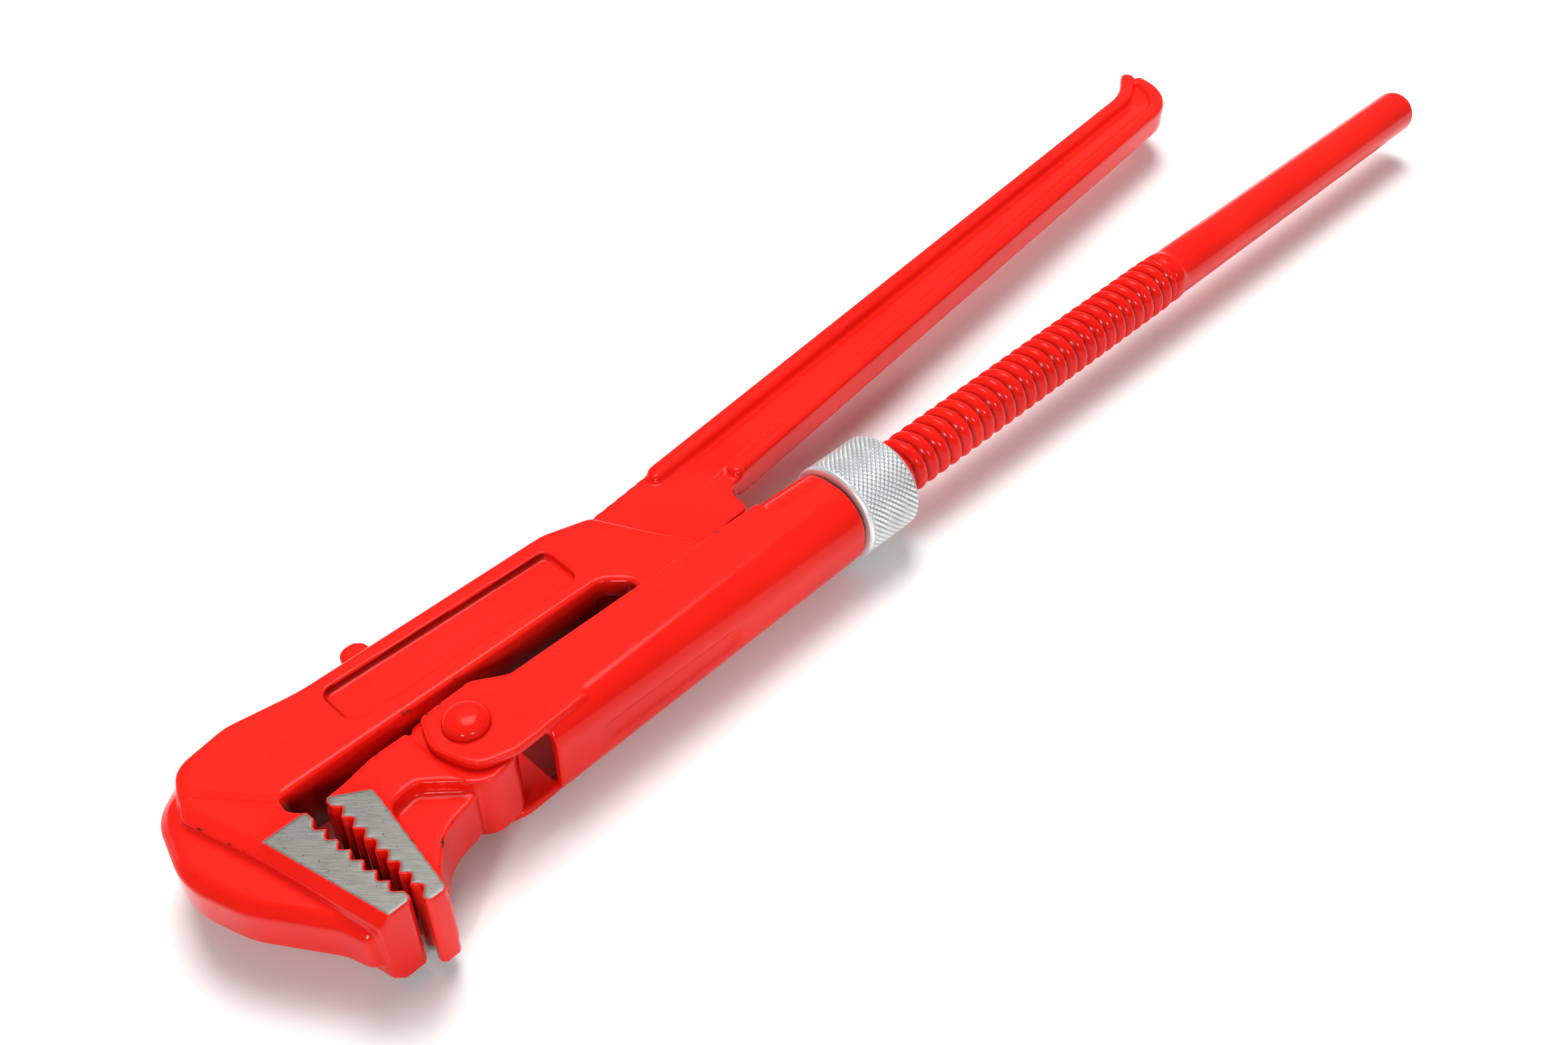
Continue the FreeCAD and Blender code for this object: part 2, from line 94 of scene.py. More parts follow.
# edges of the moving jaw's ground pad: along its rear, and across its end; the plateau beside it
GROUND_REAR_X, GROUND_TURN_Y, GROUND_TURN = -116.6, 1.8, 0.12
GROUND_END, GROUND_END_WAY = (-121.3, 5.6), (0.545, 0.838)
PLATEAU_FROM, PLATEAU_DROP, PLATEAU_SAG = 6.6, 0.30, 0.2
MOVING_CRISP_X, MOVING_CRISP_Z = (-121.0, -119.0), (7.35, 7.5)
MOVING_TEETH_X, MOVING_TEETH_Y = (-121.9, -121.3), (-17.4, 5.0)
BEHIND_BOSS_X, BEHIND_BOSS_HALF = (-98.2, -96.8), 6.9
BEHIND_BOSS_SHADE, MOVING_TEETH_SHADE = 0.75, 0.6

HANDLE_FLANGE = 3.3
WEB_HALF, WEB_HALF_OUTER, WEB_RISE = 1.8, 1.25, 1.35
WEB_FRONT_X, WEB_REAR_X, WEB_BAND = (-38.0, -26.0), (122.0, 134.0), 0.25

THREAD_START, THREAD_END, PITCH = -24.0, 73.6, 3.15
THREAD_R, THREAD_ROOT_R = 5.4, 4.3
NECK_R, NECK_X = 4.9, -32.0
THREAD_RUN_IN, THREAD_RUN_OUT, THREAD_POWER = 1.5, 1.6, 0.75
COLLAR_R, COLLAR_LENGTH, COLLAR_POWER = 5.3, 3.0, 0.35
COLLAR_NECK, COLLAR_FOOT = 0.4, 0.15
ROD_R, ROD_TIP_R, ROD_TIP_X = 5.05, 4.85, 171.0
TIP_ROUND, TIP_FLAT, TIP_POWER = 2.6, 0.25, 2.2
LEG_AROUND, STATIONS_PER_TURN = 96, 26
ROOT_FADE, ROOT_SHADE = (0.1, 0.75), 0.55
BLOCK_REAR_X, BLOCK_SHADE = -30.0, 0.7

NUT_R, NUT_BODY_R, NUT_FLANGE, NUT_CHAMFER = 9.2, 9.1, 1.0, 1.1
NUT_BORE_R = THREAD_R + 0.05
BORE_CHAMFER, NUT_RIM_ROUND, NUT_RIM_INSET = 0.6, 0.5, 0.15
NUT_FLANGE_ROUND, NUT_FLANGE_INSET = 0.4, 0.12
KNURL_DEPTH, KNURL_STARTS, KNURL_LEAD = 0.38, 48, 52.0
KNURL_STEP_X, POINTS_PER_START = 0.14, 8
KNURL_SHARPNESS, KNURL_FADE, KNURL_SHADE = 2.4, (0.35, 0.9), 0.65
CHAMFER_STEPS, CHAMFER_POWER = 6, 1.3

RIVET_X, RIVET_Y, RIVET_R = -99.9, 2.4, 2.0
RIVET_HEAD_R, RIVET_HEAD_H, RIVET_RIM = 3.7, 2.2, 0.3
RIVET_INSET, RIVET_LIFT = 0.12, 0.02
DOME_STEPS, DOME_POWER, RIVET_AROUND, RIVET_WELD = 18, 2.4, 64, 1e-4

SLEEVE_HALF, SLEEVE_WALL_Y, SLEEVE_BACK_Y = 8.0, -8.4, 8.2
SLEEVE_WALL_X, SLEEVE_REAR_X = -92.0, -24.2
BEND_FRONT_R, BEND_REAR_R = 4.2, 7.4
GROOVE_FRONT_X, GROOVE_REAR_X = (-84.0, -81.0), (-56.0, -53.5)     # ends of each run-out
GROOVE_Z, GROOVE_HALF, GROOVE_DEPTH, GROOVE_SIDE_Y = -0.4, (1.3, 2.3), 0.5, -6.0
SHEET_FADE, SHEET_SHADE = (1.0, 1.4), 0.85


# ---------------------------------------------------------------- mesh helpers
def to_row(points):
    """Datum millimetres to row metres, for an array of points."""
    return np.asarray(points, float) * MM + np.array(DATUM)


def to_datum(points):
    """Row metres to datum millimetres."""
    return (np.asarray(points, float) - np.array(DATUM)) / MM


def read_points(mesh):
    points = np.zeros(len(mesh.vertices) * 3)
    mesh.vertices.foreach_get("co", points)
    return points.reshape(-1, 3)


def write_points(mesh, points):
    mesh.vertices.foreach_set("co", np.asarray(points, float).ravel())
    mesh.update()


def paint_shade(mesh, shade):
    """Stores painted shade for gaps and grooves: how dark the surface is, 0 to 1 at each point."""
    layer = mesh.attributes.new("shade", "FLOAT", "POINT")
    layer.data.foreach_set("value", np.asarray(shade, np.float32))


def new_piece(name, mesh, body, slot, material, *replaced):
    """Object that rides on a body and stands for the named CAD nodes."""
    piece = bpy.data.objects.new(name, mesh)
    bpy.context.scene.collection.objects.link(piece)
    mesh.materials.clear()
    mesh.materials.append(material)
    for polygon in mesh.polygons:
        polygon.use_smooth = True
    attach(piece, body)
    if replaced:
        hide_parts(*replaced)
    return piece


def relax(points, edges, passes, weight):
    """Rounds edges and fills roots by moving each point toward its neighbours' mean."""
    first, second = edges[:, 0], edges[:, 1]
    count = len(points)
    degree = np.bincount(first, minlength=count) + np.bincount(second, minlength=count)
    degree = np.maximum(degree, 1)
    for _ in range(passes):
        mean = np.empty_like(points)
        for k in range(3):
            total = np.bincount(first, points[second, k], count)
            total += np.bincount(second, points[first, k], count)
            mean[:, k] = total / degree
        points = points + weight[:, None] * RELAX_STEP * (mean - points)
    return points


def remeshed(node_name):
    """Even small-quad mesh of a CAD node."""
    mesh = nodes[node_name].data.copy()
    build = bmesh.new()
    build.from_mesh(mesh)
    bmesh.ops.remove_doubles(build, verts=build.verts, dist=WELD)
    build.to_mesh(mesh)
    build.free()
    holder = bpy.data.objects.new("holder", mesh)
    bpy.context.scene.collection.objects.link(holder)
    modifier = holder.modifiers.new("voxels", "REMESH")
    modifier.mode = "VOXEL"
    modifier.voxel_size = VOXEL * MM
    graph = bpy.context.evaluated_depsgraph_get()
    result = bpy.data.meshes.new_from_object(holder.evaluated_get(graph))
    bpy.data.objects.remove(holder)
    bpy.data.meshes.remove(mesh)
    return result


def forged(node_name, passes, reshape=None, softness=None, shaded=None):
    """Remeshed node with painted-casting edges.

    reshape moves points, softness weights the rounding, shaded gives the painted shade of gaps.
    """
    mesh = remeshed(node_name)
    edges = np.zeros(len(mesh.edges) * 2, np.int64)
    mesh.edges.foreach_get("vertices", edges)
    edges = edges.reshape(-1, 2)
    points = to_datum(read_points(mesh))
    if reshape:
        points = reshape(points)
    weight = softness(points) if softness else np.ones(len(points))
    points = relax(points, edges, passes, weight)
    write_points(mesh, to_row(points))
    if shaded:
        paint_shade(mesh, shaded(points))
    return mesh


def ramp(values, start, end):
    """Smooth 0 to 1 between start and end."""
    t = np.clip((values - start) / (end - start), 0, 1)
    return t * t * (3 - 2 * t)


def line_y(x, through, slope):
    """Y at x on the line through a point (x, y)."""
    return through[1] + slope * (x - through[0])


def turned(name, stations, around, radius_at):
    """Closed surface about the leg's axis: radius_at(x, angle) at each station along X."""
    angles = np.arange(around) * (2 * math.pi / around)
    rows = []
    for x in stations:
        radius = radius_at(x, angles)
        rows.append(np.stack([np.full(around, x), radius * np.cos(angles),
                              radius * np.sin(angles)], 1))
    points = np.concatenate(rows)
    faces = []
    for i in range(len(stations) - 1):
        a, b = i * around, (i + 1) * around
        for j in range(around):
            k = (j + 1) % around
            faces.append((a + j, a + k, b + k, b + j))
    faces.append(tuple(range(around))[::-1])
    last = (len(stations) - 1) * around
    faces.append(tuple(last + j for j in range(around)))
    mesh = bpy.data.meshes.new(name)
    mesh.from_pydata([tuple(p) for p in to_row(points)], [], faces)
    mesh.update()
    return mesh


# ---------------------------------------------------------------- materials
# inputs A and B and the output of a Mix node, for each type of data
MIX_SOCKETS = {"FLOAT": (2, 3, 0), "VECTOR": (4, 5, 1), "RGBA": (6, 7, 2)}


class Shader:
    """Small wrapper that builds a node tree."""

    def __init__(self, name):
        self.material = bpy.data.materials.new(name)
        self.material.use_nodes = True
        self.tree = self.material.node_tree
        self.surface = self.tree.nodes["Principled BSDF"]
        self.coords = self.add("ShaderNodeTexCoord").outputs["Object"]

    def add(self, kind, **settings):
        made = self.tree.nodes.new(kind)
        for key, value in settings.items():
            setattr(made, key, value)
        return made

    def link(self, source, target):
        self.tree.links.new(source, target)

    def feed(self, target, value):
        """Links an output to the target, or sets the target to a constant."""
        if isinstance(value, bpy.types.NodeSocket):
            self.link(value, target)
        else:
            target.default_value = value

    def noise(self, scale, detail=4.0, roughness=0.55, vector=None):
        made = self.add("ShaderNodeTexNoise")
        made.inputs["Scale"].default_value = scale
        made.inputs["Detail"].default_value = detail
        made.inputs["Roughness"].default_value = roughness
        self.link(vector or self.coords, made.inputs["Vector"])
        return made.outputs["Fac"]

    def math(self, operation, a, b=0.0):
        made = self.add("ShaderNodeMath", operation=operation)
        self.feed(made.inputs[0], a)
        self.feed(made.inputs[1], b)
        return made.outputs[0]

    def span(self, value, low, high, to_low=0.0, to_high=1.0):
        """Value remapped from low..high to to_low..to_high, clamped."""
        made = self.add("ShaderNodeMapRange", interpolation_type="SMOOTHSTEP")
        self.feed(made.inputs["Value"], value)
        made.inputs["From Min"].default_value = low
        made.inputs["From Max"].default_value = high
        made.inputs["To Min"].default_value = to_low
        made.inputs["To Max"].default_value = to_high
        return made.outputs["Result"]

    def mixed(self, data_type, share, a, b):
        made = self.add("ShaderNodeMix", data_type=data_type)
        first, second, result = MIX_SOCKETS[data_type]
        self.feed(made.inputs["Factor"], share)
        self.feed(made.inputs[first], a)
        self.feed(made.inputs[second], b)
        return made.outputs[result]

    def mix(self, share, a, b):
        """Colour between a and b."""
        return self.mixed("RGBA", share, a, b)

    def blend(self, share, a, b):
        """Number between a and b."""
        return self.mixed("FLOAT", share, a, b)

    def bump(self, height, strength, distance):
        made = self.add("ShaderNodeBump")
        made.inputs["Strength"].default_value = strength
        made.inputs["Distance"].default_value = distance
        self.link(height, made.inputs["Height"])
        return made.outputs["Normal"]

    def set(self, **values):
        for key, value in values.items():
            self.feed(self.surface.inputs[key.replace("_", " ")], value)


RED = (0.80, 0.012, 0.006, 1)
RED_DEEP = (0.70, 0.008, 0.004, 1)
RED_THIN = (0.90, 0.045, 0.025, 1)
# RED_SHADE is the colour of the painted shade on the enamel
RED_SHADE = (0.10, 0.002, 0.001, 1)
CHIP = (0.035, 0.015, 0.012, 1)
STEEL = (0.36, 0.345, 0.32, 1)
STEEL_DARK = (0.22, 0.21, 0.195, 1)
ZINC = (0.86, 0.885, 0.89, 1)
ZINC_DULL = (0.70, 0.72, 0.72, 1)
# ZINC_SHADE is the colour of the painted shade on the zinc
ZINC_SHADE = (0.17, 0.18, 0.18, 1)

ENAMEL_IOR = 1.28
LUMP_HEIGHT, SCRATCH_HEIGHT = 0.25 * MM, 0.05 * MM
WANDER = 0.03 * MM        # unevenness of the paint's edge round the pads
GRAIN_HEIGHT = 0.03 * MM


def bare_share(s):
    """1 on the ground pads, 0 on the enamel."""
    axes = s.add("ShaderNodeSeparateXYZ")
    s.link(s.coords, axes.inputs[0])
    lift = s.math("ABSOLUTE", s.math("SUBTRACT", axes.outputs["Z"], DATUM.z))
    wander = s.math("MULTIPLY", s.math("SUBTRACT", s.noise(600.0, 3.0), 0.5), WANDER)
    high = s.span(s.math("ADD", lift, wander), (BARE_FROM - BARE_EDGE) * MM,
                  (BARE_FROM + BARE_EDGE) * MM)
    in_front = s.math("LESS_THAN", axes.outputs["X"], DATUM.x + PAD_REAR_X * MM)
    return s.math("MULTIPLY", high, in_front)


def ground_steel(s):
    """Colour, roughness and normal of steel with grinding marks."""
    turn = s.add("ShaderNodeMapping", vector_type="TEXTURE")
    turn.inputs["Rotation"].default_value = (0, 0, GRIND_ANGLE)
    turn.inputs["Scale"].default_value = (20.0, 1.0, 1.0)
    s.link(s.coords, turn.inputs["Vector"])
    streak = s.noise(5200.0, 4.0, 0.7, turn.outputs[0])
    pits = s.span(s.noise(1500.0, 2.0), 0.66, 0.72)
    steel = s.mix(s.span(streak, 0.35, 0.68), STEEL_DARK, STEEL)
    steel = s.mix(s.span(s.noise(110.0, 3.0), 0.3, 0.8, 0.0, 0.5), steel, STEEL)
    steel = s.mix(s.math("MULTIPLY", pits, 0.5), steel, CHIP)
    return steel, s.blend(streak, 0.34, 0.5), s.bump(streak, 0.10, SCRATCH_HEIGHT)


def enamel(name, pads=False, lumps=0.12):
    """Thick glossy enamel over a forging, with painted shade from the shade attribute; with pads,
    bare ground steel above BARE_FROM.
    """
    s = Shader(name)
    edge = s.add("ShaderNodeNewGeometry").outputs["Pointiness"]
    cloud = s.noise(45.0, 3.0)
    grain = s.noise(420.0, 5.0)
    # concave hollows are darker toward RED_DEEP, and thin paint on convex edges is lighter toward
    # RED_THIN
    thin = s.span(edge, 0.515, 0.57)
    in_hollow = s.span(edge, 0.485, 0.44)
    colour = s.mix(s.span(cloud, 0.3, 0.7), RED, RED_DEEP)
    colour = s.mix(s.math("MULTIPLY", thin, 0.35), colour, RED_THIN)
    colour = s.mix(s.math("MULTIPLY", in_hollow, 0.6), colour, RED_DEEP)
    speck = s.span(s.noise(650.0, 2.0), 0.64, 0.68)
    patch = s.span(s.noise(48.0, 2.0), 0.50, 0.57)
    chips = s.math("MULTIPLY", s.math("MULTIPLY", speck, patch), s.span(edge, 0.505, 0.53))
    colour = s.mix(chips, colour, CHIP)
    # painted shade: the shade attribute darkens the enamel toward RED_SHADE in gaps and grooves
    shade = s.add("ShaderNodeAttribute", attribute_name="shade").outputs["Fac"]
    colour = s.mix(shade, colour, RED_SHADE)
    rough = s.blend(grain, 0.12, 0.22)
    fine = s.math("MULTIPLY", s.noise(700.0, 3.0), 0.10)
    normal = s.bump(s.math("ADD", s.noise(95.0, 3.0), fine), lumps, LUMP_HEIGHT)
    metal = 0.0
    if pads:
        bare = bare_share(s)
        steel, steel_rough, steel_normal = ground_steel(s)
        colour = s.mix(bare, colour, steel)
        rough = s.blend(bare, rough, steel_rough)
        normal = s.mixed("VECTOR", bare, normal, steel_normal)
        metal = s.math("MULTIPLY", bare, 0.75)
    s.set(Base_Color=colour, Roughness=rough, Normal=normal, Metallic=metal, IOR=ENAMEL_IOR)
    return s.material


def zinc(name):
    """Dull bright zinc plate, with painted shade in the hollows and grooves."""
    s = Shader(name)
    edge = s.add("ShaderNodeNewGeometry").outputs["Pointiness"]
    cloud = s.noise(160.0, 4.0)
    colour = s.mix(s.span(cloud, 0.3, 0.75), ZINC, ZINC_DULL)
    # painted shade: hollows and the shade attribute darken the zinc toward ZINC_SHADE
    colour = s.mix(s.span(edge, 0.47, 0.36, 0.0, 0.4), colour, ZINC_SHADE)
    groove = s.add("ShaderNodeAttribute", attribute_name="shade").outputs["Fac"]
    colour = s.mix(groove, colour, ZINC_SHADE)
    s.set(Base_Color=colour, Metallic=0.65, Roughness=s.blend(cloud, 0.30, 0.46),
          Normal=s.bump(s.noise(2500.0, 3.0), 0.15, GRAIN_HEIGHT))
    return s.material


def bare_steel(name):
    """Plain turned steel of the pins."""
    s = Shader(name)
    cloud = s.noise(300.0, 4.0)
    s.set(Base_Color=s.mix(cloud, STEEL, STEEL_DARK), Metallic=0.85,
          Roughness=s.blend(cloud, 0.3, 0.5), Normal=s.bump(cloud, 0.1, GRAIN_HEIGHT))
    return s.material


red_jaw = enamel("red_enamel_ground_pads", pads=True)
red_plain = enamel("red_enamel")
red_sheet = enamel("red_enamel_sheet", lumps=0.07)
red_bar = enamel("red_enamel_bar", lumps=0.03)
zinc_plate = zinc("zinc_plate")
pin_steel = bare_steel("bare_steel")


# ---------------------------------------------------------------- hook jaw
def hook_shape(points):
    """Slopes the head's plateau from the pad's edge down to the shank."""
    x, y, z = points.T
    reach = np.maximum(line_y(x, *HEAD_STEP) - PAD_EDGE_Y, 1.0)
    down = np.clip((y - PAD_EDGE_Y) / reach, 0, 1)
    proud = np.maximum(np.abs(z) - SHANK_HALF, 0)
    on_head = x < HEAD_REAR_X
    edge_step = PAD_STEP * ramp(y, PAD_EDGE_Y, 6.3)
    lowered = np.sign(z) * (SHANK_HALF + proud * (1 - edge_step - PLATEAU_FALL * down))
    shaped = points.copy()
    shaped[:, 2] = np.where(on_head & (proud > 0), lowered, z)
    return shaped


def hook_softness(points):
    """Teeth and pads keep crisper edges than the rest of the forging."""
    x, y, z = points.T
    on_teeth = ramp(x, *HOOK_CRISP_X) * (x < HOOK_CRISP_REAR_X) * (1 - ramp(y, *HOOK_CRISP_Y))
    on_pad = ramp(np.abs(z), *HOOK_CRISP_Z)
    return 1 - CRISP * np.maximum(on_teeth, on_pad)


def hook_shade(points):
    """Painted shade in the gap along the shank, behind the pad, between teeth, at the recess's
    walls and along the head's crease.
    """
    x, y, z = points.T
    gap = (x > GAP_FRONT_X) * (y > GAP_INNER_Y) * (1 - ramp(y, *GAP_OUTER_Y))
    corner = 1 - ramp(x, *GAP_CORNER_X)
    gap = gap * ramp(SHANK_HALF - z, 0.2, GAP_DEPTH - GAP_CORNER_RISE * corner)

    teeth = ramp(x, *HOOK_TEETH_X) * (x < HOOK_TEETH_REAR_X) * ramp(PAD_HALF - z, 0.2, 5.0)
    teeth = teeth * (y > HOOK_TEETH_Y[0]) * (y < HOOK_TEETH_Y[1])

    outer_wall = line_y(x, *RECESS_OUTER)
    walls = (np.abs(z) < SHANK_HALF - NEAR) * (np.abs(z) > RECESS_FLOOR)
    walls = walls * (x > RECESS_FRONT_X - NEAR) * (x < RECESS_REAR_X)
    walls = walls * (y > RECESS_INNER_Y) * (y < outer_wall + NEAR)
    walls = walls * (1 - ramp(np.minimum(outer_wall - y, x - RECESS_FRONT_X), 0.1, 0.9))

    crease = np.exp(-((y - line_y(x, *HEAD_STEP)) / CREASE_WIDTH) ** 2)
    crease = crease * (x < CREASE_REAR_X) * (z > CREASE_FROM)
    return np.clip(GAP_SHADE * gap + HOOK_TEETH_SHADE * teeth + WALL_SHADE * walls
                   + CREASE_SHADE * crease, 0, 1)


new_piece("hook_jaw_forging", forged("hook_jaw", 4, hook_shape, hook_softness, hook_shade),
          "hook", "red_enamel", red_jaw, "hook_jaw")


# ---------------------------------------------------------------- moving jaw
def moving_shape(points):
    """Lowers the painted plateau beside the ground pad by a little."""
    x, y, z = points.T
    past_side = x - GROUND_REAR_X - GROUND_TURN * np.minimum(y - GROUND_TURN_Y, 0)
    past_end = (x - GROUND_END[0]) * GROUND_END_WAY[0] + (y - GROUND_END[1]) * GROUND_END_WAY[1]
    past = np.maximum(past_side, past_end)
    drop = PLATEAU_DROP * ramp(past, 0.0, 0.4) + PLATEAU_SAG * ramp(past, 0.4, 3.0)
    shaped = points.copy()
    shaped[:, 2] = np.where(np.abs(z) > PLATEAU_FROM, np.sign(z) * (np.abs(z) - drop), z)
    return shaped


def moving_softness(points):
    """Crisper edges on the teeth and the pad."""
    x, y, z = points.T
    on_teeth = 1 - ramp(x, *MOVING_CRISP_X)
    on_pad = ramp(np.abs(z), *MOVING_CRISP_Z)
    return 1 - CRISP * np.maximum(on_teeth, on_pad)


def moving_shade(points):
    """Painted shade behind the boss, inside the sleeve, and down between the teeth."""
    x, y, z = points.T
    behind = ramp(x, *BEHIND_BOSS_X) * (np.abs(z) < BEHIND_BOSS_HALF)
    teeth = (1 - ramp(x, *MOVING_TEETH_X)) * ramp(PAD_HALF - z, 1.0, 9.0)
    teeth = teeth * (y > MOVING_TEETH_Y[0]) * (y < MOVING_TEETH_Y[1])
    return np.clip(BEHIND_BOSS_SHADE * behind + MOVING_TEETH_SHADE * teeth, 0, 1)


new_piece("moving_jaw_forging",
          forged("moving_jaw", 6, moving_shape, moving_softness, moving_shade),
          "carriage", "red_enamel", red_jaw, "moving_jaw")


# ---------------------------------------------------------------- handle, sleeve
def handle_shape(points):
    """Web that is deep beside the outer flange and rises almost flush with the inner one."""
    x, y, z = points.T
    outer = line_y(x, *HANDLE_OUTER) - HANDLE_FLANGE
    inner = line_y(x, *HANDLE_INNER) + HANDLE_FLANGE
    share = np.clip((outer - y) / np.maximum(outer - inner, 1.0), 0, 1)
    half = WEB_HALF_OUTER + WEB_RISE * share
    along = ramp(x, *WEB_FRONT_X) * (1 - ramp(x, *WEB_REAR_X))
    on_web = (np.abs(np.abs(z) - WEB_HALF) < WEB_BAND) & (y < outer + NEAR) & (y > inner - NEAR)
    shaped = points.copy()
    shaped[:, 2] = np.where(on_web, np.sign(z) * (WEB_HALF + (half - WEB_HALF) * along), z)
    return shaped


def sleeve_shape(points):
    """Long shallow groove pressed into the sleeve's side."""
    x, y, z = points.T
    length = ramp(x, *GROOVE_FRONT_X) * (1 - ramp(x, *GROOVE_REAR_X))
    across = 1 - ramp(np.abs(z - GROOVE_Z), *GROOVE_HALF)
    shaped = points.copy()
    shaped[:, 1] = y + GROOVE_DEPTH * length * across * (y < GROOVE_SIDE_Y)
    return shaped


def sleeve_shade(points):
    """Painted shade on the inside of the channel and of the collar, below the outer rounded
    surface.
    """
    x, y, z = points.T
    share = (x - SLEEVE_WALL_X) / (SLEEVE_REAR_X - SLEEVE_WALL_X)
    radius = BEND_FRONT_R + share * (BEND_REAR_R - BEND_FRONT_R)
    across = np.abs(z) - (SLEEVE_HALF - radius)
    outward = np.maximum((SLEEVE_WALL_Y + radius) - y, y - (SLEEVE_BACK_Y - radius))
    corner = np.hypot(np.maximum(across, 0), np.maximum(outward, 0))
    level = np.where((across > 0) & (outward > 0), corner, np.maximum(across, outward))
    return SHEET_SHADE * ramp(radius - level, *SHEET_FADE) * (x > SLEEVE_WALL_X + 0.4)


new_piece("handle_forging", forged("handle_lever", 5, handle_shape),
          "lever", "red_enamel", red_plain, "handle_lever")
new_piece("sleeve_pressing", forged("sleeve", 3, sleeve_shape, shaded=sleeve_shade),
          "carriage", "red_enamel", red_sheet, "sleeve")


# ---------------------------------------------------------------- rivet
def rivet():
    """Turned rivet with a domed head at each end."""
    profile = []
    for i in range(DOME_STEPS + 1):
        share = math.sin(i / DOME_STEPS * math.pi / 2)
        drop = 1 - (1 - share ** DOME_POWER) ** 0.5
        height = RIVET_HEAD_H * (1 - drop) + RIVET_RIM * drop
        profile.append((RIVET_HEAD_R * share, SLEEVE_HALF + height))
    profile.append((RIVET_HEAD_R - RIVET_INSET, SLEEVE_HALF + RIVET_LIFT))
    profile.append((RIVET_R, SLEEVE_HALF))
    full = profile + [(r, -z) for r, z in reversed(profile)]
    build = bmesh.new()
    verts = [build.verts.new((r, 0, z)) for r, z in full]
    edges = [build.edges.new(pair) for pair in zip(verts, verts[1:])]
    bmesh.ops.spin(build, geom=verts + edges, cent=(0, 0, 0), axis=(0, 0, 1),
                   angle=2 * math.pi, steps=RIVET_AROUND, use_merge=True)
    bmesh.ops.remove_doubles(build, verts=build.verts, dist=RIVET_WELD)
    bmesh.ops.recalc_face_normals(build, faces=build.faces)
    mesh = bpy.data.meshes.new("jaw_rivet_turned")
    build.to_mesh(mesh)
    build.free()
    points = read_points(mesh) + np.array((RIVET_X, RIVET_Y, 0))
    write_points(mesh, to_row(points))
    return mesh


new_piece("jaw_rivet_turned", rivet(), "carriage", "red_enamel", red_sheet, "jaw_rivet")


# ---------------------------------------------------------------- threaded leg
def leg_radius(x, angles):
    """Neck, helical rope thread, collar and smooth handle with a rounded tip."""
    if x < THREAD_START:
        return np.full(len(angles), NECK_R)
    if x < THREAD_END:
        phase = (x - THREAD_START) / PITCH - angles / (2 * math.pi)
        ridge = np.abs(np.sin(math.pi * phase)) ** THREAD_POWER
        rise = float(ramp(x, THREAD_START, THREAD_START + THREAD_RUN_IN))
        run_out = float(ramp(x, THREAD_END - THREAD_RUN_OUT, THREAD_END))
        crest = THREAD_ROOT_R + (THREAD_R - THREAD_ROOT_R) * ridge * rise
        return crest * (1 - run_out) + (COLLAR_R - COLLAR_NECK) * run_out
    collar_end = THREAD_END + COLLAR_LENGTH
    if x < collar_end:
        along = min(1.0, (x - THREAD_END) / COLLAR_LENGTH)
        bulge = math.sin(math.pi * along) ** COLLAR_POWER
        foot_r = ROD_R - COLLAR_FOOT
        return np.full(len(angles), foot_r + (COLLAR_R - foot_r) * bulge)
    taper = (x - collar_end) / (ROD_TIP_X - collar_end)
    radius = ROD_R + (ROD_TIP_R - ROD_R) * taper
    round_from = ROD_TIP_X - TIP_ROUND
    if x > round_from:
        share = min(1.0, (x - round_from) / (ROD_TIP_X - round_from))
        radius *= TIP_FLAT + (1 - TIP_FLAT) * math.sqrt(max(0.0, 1 - share ** TIP_POWER))
    return np.full(len(angles), radius)


stations = np.concatenate([
    np.linspace(NECK_X, THREAD_START, 8, endpoint=False),
    np.arange(THREAD_START, THREAD_END, PITCH / STATIONS_PER_TURN),
    np.linspace(THREAD_END, THREAD_END + COLLAR_LENGTH, 14, endpoint=False),
    np.linspace(THREAD_END + COLLAR_LENGTH, ROD_TIP_X - TIP_ROUND, 60, endpoint=False),
    ROD_TIP_X - TIP_ROUND * (1 - np.sin(np.linspace(0, math.pi / 2, 16)))])
bar_mesh = turned("threaded_leg_bar", stations, LEG_AROUND, leg_radius)
bar_x, bar_y, bar_z = to_datum(read_points(bar_mesh)).T
# painted shade in the thread's valleys, fading out above the root
in_thread = (bar_x > THREAD_START) * (bar_x < THREAD_END)
above_root = np.hypot(bar_y, bar_z) - THREAD_ROOT_R
paint_shade(bar_mesh, ROOT_SHADE * in_thread * (1 - ramp(above_root, *ROOT_FADE)))
new_piece("threaded_leg_bar", bar_mesh, "leg", "red_enamel", red_bar, "threaded_leg")


def fork_block():
    """Front of the leg, the slotted block inside the sleeve."""
    # the whole block gets painted shade, as it sits inside the sleeve
    mesh = forged("threaded_leg", 5, shaded=lambda points: np.full(len(points), BLOCK_SHADE))
    build = bmesh.new()
    build.from_mesh(mesh)
    geometry = build.verts[:] + build.edges[:] + build.faces[:]
    cut = bmesh.ops.bisect_plane(build, geom=geometry, plane_co=to_row((BLOCK_REAR_X, 0, 0)),
                                 plane_no=(1, 0, 0), clear_outer=True)
    rim = [e for e in cut["geom_cut"] if isinstance(e, bmesh.types.BMEdge)]
    bmesh.ops.contextual_create(build, geom=rim)
    build.to_mesh(mesh)
    build.free()
    return mesh


new_piece("leg_fork_block", fork_block(), "leg", "red_enamel", red_plain)


# ---------------------------------------------------------------- nut
def saw(values):
    """Triangle wave between 0 and 1 with period 1."""
    return np.abs(2 * (values - np.floor(values)) - 1)


